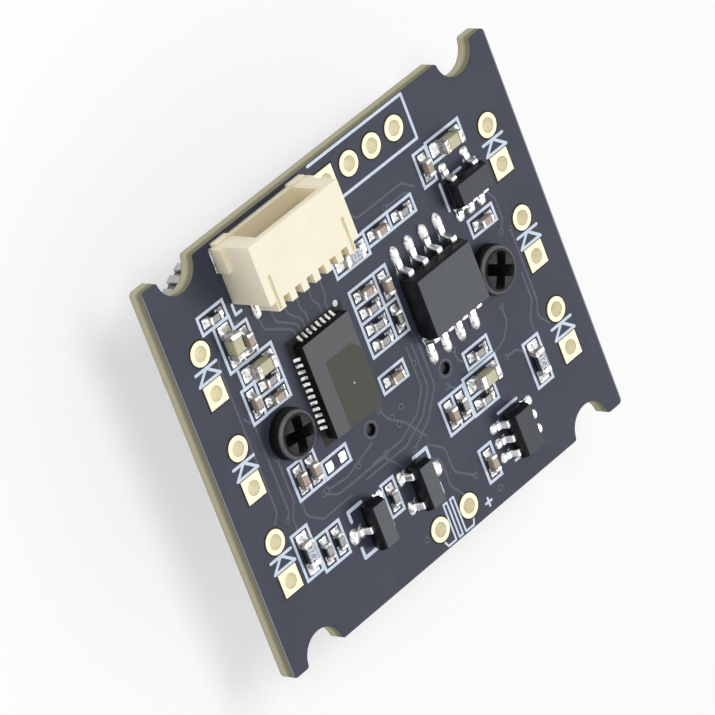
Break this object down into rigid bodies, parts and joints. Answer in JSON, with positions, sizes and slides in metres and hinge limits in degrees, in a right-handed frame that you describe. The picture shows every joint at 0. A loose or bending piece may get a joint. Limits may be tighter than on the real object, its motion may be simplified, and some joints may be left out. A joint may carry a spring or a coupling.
{
  "type": "camera module",
  "caption": "Small black circuit board with a side-entry connector and chips on one face and a screw-in lens in a square-footed holder on the other.",
  "frame": {"origin": "under the board's centre, in the plane of the lens's front rim", "axes": "+X along the longer board edge, +Y along the shorter edge towards the connector's mouth, +Z from the lens's front to the component face"},
  "size_m": [0.03, 0.025, 0.0161],
  "materials": {
    "board_laminate": "satin",
    "legend_ink": "matte",
    "gold_plate": "satin",
    "tin_plate": "satin",
    "solder": "bright",
    "connector_plastic": "satin",
    "chip_plastic": "matte",
    "large_capacitor_ceramic": "satin",
    "small_capacitor_ceramic": "satin",
    "resistor_glaze": "gloss",
    "screw_black": "satin",
    "holder_plastic": "matte",
    "barrel_metal": "satin",
    "ring_black": "matte",
    "lens_glass": "clear",
    "filter_glass": "clear",
    "sensor_package": "satin"
  },
  "bodies": {
    "module": {"circuit_board": "board_laminate", "diode_pads": "gold_plate", "header_pads": "gold_plate", "output_pads": "gold_plate", "printed_legend": "legend_ink", "connector_housing": "connector_plastic", "connector_contacts": "tin_plate", "connector_tabs": "tin_plate", "controller_chip": "chip_plastic", "controller_terminals": "solder", "memory_chip": "chip_plastic", "memory_leads": "tin_plate", "regulator": "chip_plastic", "regulator_leads": "tin_plate", "left_transistor": "chip_plastic", "left_transistor_leads": "tin_plate", "right_transistor": "chip_plastic", "right_transistor_leads": "tin_plate", "power_switch": "chip_plastic", "power_switch_leads": "tin_plate", "large_capacitors": "large_capacitor_ceramic", "large_capacitor_caps": "solder", "small_capacitors": "small_capacitor_ceramic", "small_capacitor_caps": "solder", "marked_resistors": "resistor_glaze", "marked_resistor_caps": "solder", "small_resistors": "resistor_glaze", "small_resistor_caps": "solder", "chip_lands": "solder", "chip_part_solder": "solder", "bare_lands": "solder", "lens_screws": "screw_black", "lens_holder": "holder_plastic", "infrared_filter": "filter_glass", "image_sensor": "sensor_package", "sensor_glass": "lens_glass"},
    "lens": {"lens_barrel": "barrel_metal", "front_lens": "lens_glass", "spacer_ring": "ring_black", "rear_lens": "lens_glass", "retaining_ring": "ring_black"}
  },
  "joints": [
    {"name": "lens_focus", "type": "hinge", "parent": "module", "child": "lens", "pos_m": [0, 0.0004, 0], "axis": [0, 0, 1], "range_deg": [-180, 180]}
  ]
}
